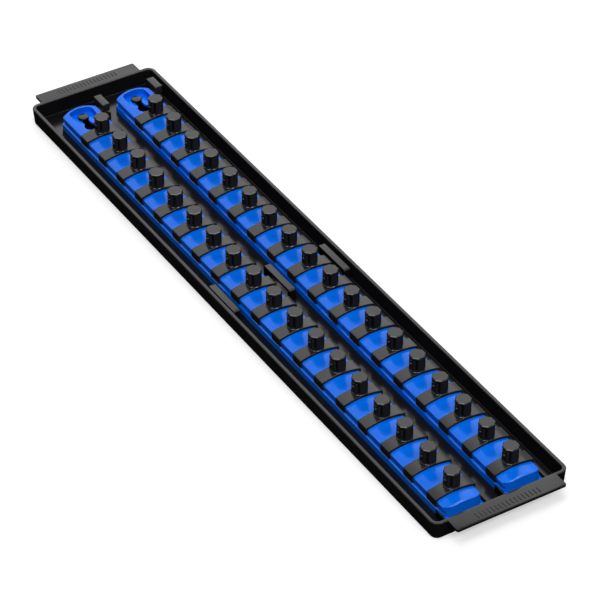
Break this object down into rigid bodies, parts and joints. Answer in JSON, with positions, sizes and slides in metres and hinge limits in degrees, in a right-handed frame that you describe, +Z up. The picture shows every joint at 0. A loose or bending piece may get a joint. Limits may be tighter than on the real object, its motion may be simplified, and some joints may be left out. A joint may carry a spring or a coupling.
{
  "type": "socket organizer drawer tray",
  "caption": "Shallow drawer tray with pull flanges, holding two slide-off rails of twist-lock clips for drive sockets.",
  "frame": {"origin": "middle of the tray's underside", "axes": "+Y along the tray towards the keyhole ends of the rails, +X across it, +Z up out of the posts"},
  "size_m": [0.092, 0.5014, 0.0254],
  "materials": {
    "tray_black": "fine moulded grain, satin black",
    "clip_black": "satin black moulding",
    "rail_blue": "glossy bright blue moulding"
  },
  "bodies": {
    "tray": {"tray": "tray_black", "rail_pins": "tray_black", "mid_bridges": "tray_black"},
    "rail_left": {"rail_left": "rail_blue", "clip_bases_left_set": "clip_black"},
    "latch_left": {"latch_left": "tray_black"},
    "post_left_01": {"clip_post_left_01": "clip_black"},
    "post_left_02": {"clip_post_left_02": "clip_black"},
    "post_left_03": {"clip_post_left_03": "clip_black"},
    "post_left_04": {"clip_post_left_04": "clip_black"},
    "clip_left_04": {"clip_base_left_04": "clip_black"},
    "post_left_05": {"clip_post_left_05": "clip_black"},
    "post_left_06": {"clip_post_left_06": "clip_black"},
    "clip_left_06": {"clip_base_left_06": "clip_black"},
    "post_left_07": {"clip_post_left_07": "clip_black"},
    "post_left_08": {"clip_post_left_08": "clip_black"},
    "clip_left_08": {"clip_base_left_08": "clip_black"},
    "post_left_09": {"clip_post_left_09": "clip_black"},
    "post_left_10": {"clip_post_left_10": "clip_black"},
    "clip_left_10": {"clip_base_left_10": "clip_black"},
    "post_left_11": {"clip_post_left_11": "clip_black"},
    "post_left_12": {"clip_post_left_12": "clip_black"},
    "clip_left_12": {"clip_base_left_12": "clip_black"},
    "post_left_13": {"clip_post_left_13": "clip_black"},
    "post_left_14": {"clip_post_left_14": "clip_black"},
    "clip_left_14": {"clip_base_left_14": "clip_black"},
    "post_left_15": {"clip_post_left_15": "clip_black"},
    "post_left_16": {"clip_post_left_16": "clip_black"},
    "clip_left_16": {"clip_base_left_16": "clip_black"},
    "post_left_17": {"clip_post_left_17": "clip_black"},
    "post_left_18": {"clip_post_left_18": "clip_black"},
    "rail_right": {"rail_right": "rail_blue", "clip_bases_right_set": "clip_black"},
    "latch_right": {"latch_right": "tray_black"},
    "post_right_01": {"clip_post_right_01": "clip_black"},
    "post_right_02": {"clip_post_right_02": "clip_black"},
    "post_right_03": {"clip_post_right_03": "clip_black"},
    "post_right_04": {"clip_post_right_04": "clip_black"},
    "clip_right_04": {"clip_base_right_04": "clip_black"},
    "post_right_05": {"clip_post_right_05": "clip_black"},
    "post_right_06": {"clip_post_right_06": "clip_black"},
    "clip_right_06": {"clip_base_right_06": "clip_black"},
    "post_right_07": {"clip_post_right_07": "clip_black"},
    "post_right_08": {"clip_post_right_08": "clip_black"},
    "clip_right_08": {"clip_base_right_08": "clip_black"},
    "post_right_09": {"clip_post_right_09": "clip_black"},
    "post_right_10": {"clip_post_right_10": "clip_black"},
    "clip_right_10": {"clip_base_right_10": "clip_black"},
    "post_right_11": {"clip_post_right_11": "clip_black"},
    "post_right_12": {"clip_post_right_12": "clip_black"},
    "clip_right_12": {"clip_base_right_12": "clip_black"},
    "post_right_13": {"clip_post_right_13": "clip_black"},
    "post_right_14": {"clip_post_right_14": "clip_black"},
    "clip_right_14": {"clip_base_right_14": "clip_black"},
    "post_right_15": {"clip_post_right_15": "clip_black"},
    "post_right_16": {"clip_post_right_16": "clip_black"},
    "clip_right_16": {"clip_base_right_16": "clip_black"},
    "post_right_17": {"clip_post_right_17": "clip_black"},
    "post_right_18": {"clip_post_right_18": "clip_black"}
  },
  "joints": [
    {"name": "rail_left_slide", "type": "slide", "parent": "tray", "child": "rail_left", "axis": [0, 1, 0], "range_m": [0, 0.01]},
    {"name": "rail_right_slide", "type": "slide", "parent": "tray", "child": "rail_right", "axis": [0, 1, 0], "range_m": [0, 0.01]},
    {"name": "latch_left_flex", "type": "hinge", "parent": "tray", "child": "latch_left", "pos_m": [-0.0016, 0.22385, 0.00305], "axis": [0, 1, 0], "range_deg": [0, 12], "stiffness_Nm_per_rad": 0.05},
    {"name": "latch_right_flex", "type": "hinge", "parent": "tray", "child": "latch_right", "pos_m": [0.0384, 0.22385, 0.00305], "axis": [0, 1, 0], "range_deg": [0, 12], "stiffness_Nm_per_rad": 0.05},
    {"name": "clip_left_04_slide", "type": "slide", "parent": "rail_left", "child": "clip_left_04", "axis": [0, 1, 0], "range_m": [-0.0135, 0.0135]},
    {"name": "clip_left_06_slide", "type": "slide", "parent": "rail_left", "child": "clip_left_06", "axis": [0, 1, 0], "range_m": [-0.0135, 0.0135]},
    {"name": "clip_left_08_slide", "type": "slide", "parent": "rail_left", "child": "clip_left_08", "axis": [0, 1, 0], "range_m": [-0.0135, 0.0135]},
    {"name": "clip_left_10_slide", "type": "slide", "parent": "rail_left", "child": "clip_left_10", "axis": [0, 1, 0], "range_m": [-0.0135, 0.0135]},
    {"name": "clip_left_12_slide", "type": "slide", "parent": "rail_left", "child": "clip_left_12", "axis": [0, 1, 0], "range_m": [-0.0135, 0.0135]},
    {"name": "clip_left_14_slide", "type": "slide", "parent": "rail_left", "child": "clip_left_14", "axis": [0, 1, 0], "range_m": [-0.0135, 0.0135]},
    {"name": "clip_left_16_slide", "type": "slide", "parent": "rail_left", "child": "clip_left_16", "axis": [0, 1, 0], "range_m": [-0.0135, 0.0135]},
    {"name": "clip_right_04_slide", "type": "slide", "parent": "rail_right", "child": "clip_right_04", "axis": [0, 1, 0], "range_m": [-0.0135, 0.0135]},
    {"name": "clip_right_06_slide", "type": "slide", "parent": "rail_right", "child": "clip_right_06", "axis": [0, 1, 0], "range_m": [-0.0135, 0.0135]},
    {"name": "clip_right_08_slide", "type": "slide", "parent": "rail_right", "child": "clip_right_08", "axis": [0, 1, 0], "range_m": [-0.0135, 0.0135]},
    {"name": "clip_right_10_slide", "type": "slide", "parent": "rail_right", "child": "clip_right_10", "axis": [0, 1, 0], "range_m": [-0.0135, 0.0135]},
    {"name": "clip_right_12_slide", "type": "slide", "parent": "rail_right", "child": "clip_right_12", "axis": [0, 1, 0], "range_m": [-0.0135, 0.0135]},
    {"name": "clip_right_14_slide", "type": "slide", "parent": "rail_right", "child": "clip_right_14", "axis": [0, 1, 0], "range_m": [-0.0135, 0.0135]},
    {"name": "clip_right_16_slide", "type": "slide", "parent": "rail_right", "child": "clip_right_16", "axis": [0, 1, 0], "range_m": [-0.0135, 0.0135]},
    {"name": "post_left_01_twist", "type": "hinge", "parent": "rail_left", "child": "post_left_01", "pos_m": [-0.02, 0.189, 0.01435], "axis": [0, 0, 1], "range_deg": [0, 90]},
    {"name": "post_left_02_twist", "type": "hinge", "parent": "rail_left", "child": "post_left_02", "pos_m": [-0.02, 0.165, 0.01435], "axis": [0, 0, 1], "range_deg": [0, 90]},
    {"name": "post_left_03_twist", "type": "hinge", "parent": "rail_left", "child": "post_left_03", "pos_m": [-0.02, 0.141, 0.01435], "axis": [0, 0, 1], "range_deg": [0, 90]},
    {"name": "post_left_04_twist", "type": "hinge", "parent": "clip_left_04", "child": "post_left_04", "pos_m": [-0.02, 0.117, 0.01435], "axis": [0, 0, 1], "range_deg": [0, 90]},
    {"name": "post_left_05_twist", "type": "hinge", "parent": "rail_left", "child": "post_left_05", "pos_m": [-0.02, 0.093, 0.01435], "axis": [0, 0, 1], "range_deg": [0, 90]},
    {"name": "post_left_06_twist", "type": "hinge", "parent": "clip_left_06", "child": "post_left_06", "pos_m": [-0.02, 0.069, 0.01435], "axis": [0, 0, 1], "range_deg": [0, 90]},
    {"name": "post_left_07_twist", "type": "hinge", "parent": "rail_left", "child": "post_left_07", "pos_m": [-0.02, 0.045, 0.01435], "axis": [0, 0, 1], "range_deg": [0, 90]},
    {"name": "post_left_08_twist", "type": "hinge", "parent": "clip_left_08", "child": "post_left_08", "pos_m": [-0.02, 0.021, 0.01435], "axis": [0, 0, 1], "range_deg": [0, 90]},
    {"name": "post_left_09_twist", "type": "hinge", "parent": "rail_left", "child": "post_left_09", "pos_m": [-0.02, -0.003, 0.01435], "axis": [0, 0, 1], "range_deg": [0, 90]},
    {"name": "post_left_10_twist", "type": "hinge", "parent": "clip_left_10", "child": "post_left_10", "pos_m": [-0.02, -0.027, 0.01435], "axis": [0, 0, 1], "range_deg": [0, 90]},
    {"name": "post_left_11_twist", "type": "hinge", "parent": "rail_left", "child": "post_left_11", "pos_m": [-0.02, -0.051, 0.01435], "axis": [0, 0, 1], "range_deg": [0, 90]},
    {"name": "post_left_12_twist", "type": "hinge", "parent": "clip_left_12", "child": "post_left_12", "pos_m": [-0.02, -0.075, 0.01435], "axis": [0, 0, 1], "range_deg": [0, 90]},
    {"name": "post_left_13_twist", "type": "hinge", "parent": "rail_left", "child": "post_left_13", "pos_m": [-0.02, -0.099, 0.01435], "axis": [0, 0, 1], "range_deg": [0, 90]},
    {"name": "post_left_14_twist", "type": "hinge", "parent": "clip_left_14", "child": "post_left_14", "pos_m": [-0.02, -0.123, 0.01435], "axis": [0, 0, 1], "range_deg": [0, 90]},
    {"name": "post_left_15_twist", "type": "hinge", "parent": "rail_left", "child": "post_left_15", "pos_m": [-0.02, -0.147, 0.01435], "axis": [0, 0, 1], "range_deg": [0, 90]},
    {"name": "post_left_16_twist", "type": "hinge", "parent": "clip_left_16", "child": "post_left_16", "pos_m": [-0.02, -0.171, 0.01435], "axis": [0, 0, 1], "range_deg": [0, 90]},
    {"name": "post_left_17_twist", "type": "hinge", "parent": "rail_left", "child": "post_left_17", "pos_m": [-0.02, -0.195, 0.01435], "axis": [0, 0, 1], "range_deg": [0, 90]},
    {"name": "post_left_18_twist", "type": "hinge", "parent": "rail_left", "child": "post_left_18", "pos_m": [-0.02, -0.219, 0.01435], "axis": [0, 0, 1], "range_deg": [0, 90]},
    {"name": "post_right_01_twist", "type": "hinge", "parent": "rail_right", "child": "post_right_01", "pos_m": [0.02, 0.189, 0.01435], "axis": [0, 0, 1], "range_deg": [0, 90]},
    {"name": "post_right_02_twist", "type": "hinge", "parent": "rail_right", "child": "post_right_02", "pos_m": [0.02, 0.165, 0.01435], "axis": [0, 0, 1], "range_deg": [0, 90]},
    {"name": "post_right_03_twist", "type": "hinge", "parent": "rail_right", "child": "post_right_03", "pos_m": [0.02, 0.141, 0.01435], "axis": [0, 0, 1], "range_deg": [0, 90]},
    {"name": "post_right_04_twist", "type": "hinge", "parent": "clip_right_04", "child": "post_right_04", "pos_m": [0.02, 0.117, 0.01435], "axis": [0, 0, 1], "range_deg": [0, 90]},
    {"name": "post_right_05_twist", "type": "hinge", "parent": "rail_right", "child": "post_right_05", "pos_m": [0.02, 0.093, 0.01435], "axis": [0, 0, 1], "range_deg": [0, 90]},
    {"name": "post_right_06_twist", "type": "hinge", "parent": "clip_right_06", "child": "post_right_06", "pos_m": [0.02, 0.069, 0.01435], "axis": [0, 0, 1], "range_deg": [0, 90]},
    {"name": "post_right_07_twist", "type": "hinge", "parent": "rail_right", "child": "post_right_07", "pos_m": [0.02, 0.045, 0.01435], "axis": [0, 0, 1], "range_deg": [0, 90]},
    {"name": "post_right_08_twist", "type": "hinge", "parent": "clip_right_08", "child": "post_right_08", "pos_m": [0.02, 0.021, 0.01435], "axis": [0, 0, 1], "range_deg": [0, 90]},
    {"name": "post_right_09_twist", "type": "hinge", "parent": "rail_right", "child": "post_right_09", "pos_m": [0.02, -0.003, 0.01435], "axis": [0, 0, 1], "range_deg": [0, 90]},
    {"name": "post_right_10_twist", "type": "hinge", "parent": "clip_right_10", "child": "post_right_10", "pos_m": [0.02, -0.027, 0.01435], "axis": [0, 0, 1], "range_deg": [0, 90]},
    {"name": "post_right_11_twist", "type": "hinge", "parent": "rail_right", "child": "post_right_11", "pos_m": [0.02, -0.051, 0.01435], "axis": [0, 0, 1], "range_deg": [0, 90]},
    {"name": "post_right_12_twist", "type": "hinge", "parent": "clip_right_12", "child": "post_right_12", "pos_m": [0.02, -0.075, 0.01435], "axis": [0, 0, 1], "range_deg": [0, 90]},
    {"name": "post_right_13_twist", "type": "hinge", "parent": "rail_right", "child": "post_right_13", "pos_m": [0.02, -0.099, 0.01435], "axis": [0, 0, 1], "range_deg": [0, 90]},
    {"name": "post_right_14_twist", "type": "hinge", "parent": "clip_right_14", "child": "post_right_14", "pos_m": [0.02, -0.123, 0.01435], "axis": [0, 0, 1], "range_deg": [0, 90]},
    {"name": "post_right_15_twist", "type": "hinge", "parent": "rail_right", "child": "post_right_15", "pos_m": [0.02, -0.147, 0.01435], "axis": [0, 0, 1], "range_deg": [0, 90]},
    {"name": "post_right_16_twist", "type": "hinge", "parent": "clip_right_16", "child": "post_right_16", "pos_m": [0.02, -0.171, 0.01435], "axis": [0, 0, 1], "range_deg": [0, 90]},
    {"name": "post_right_17_twist", "type": "hinge", "parent": "rail_right", "child": "post_right_17", "pos_m": [0.02, -0.195, 0.01435], "axis": [0, 0, 1], "range_deg": [0, 90]},
    {"name": "post_right_18_twist", "type": "hinge", "parent": "rail_right", "child": "post_right_18", "pos_m": [0.02, -0.219, 0.01435], "axis": [0, 0, 1], "range_deg": [0, 90]}
  ]
}
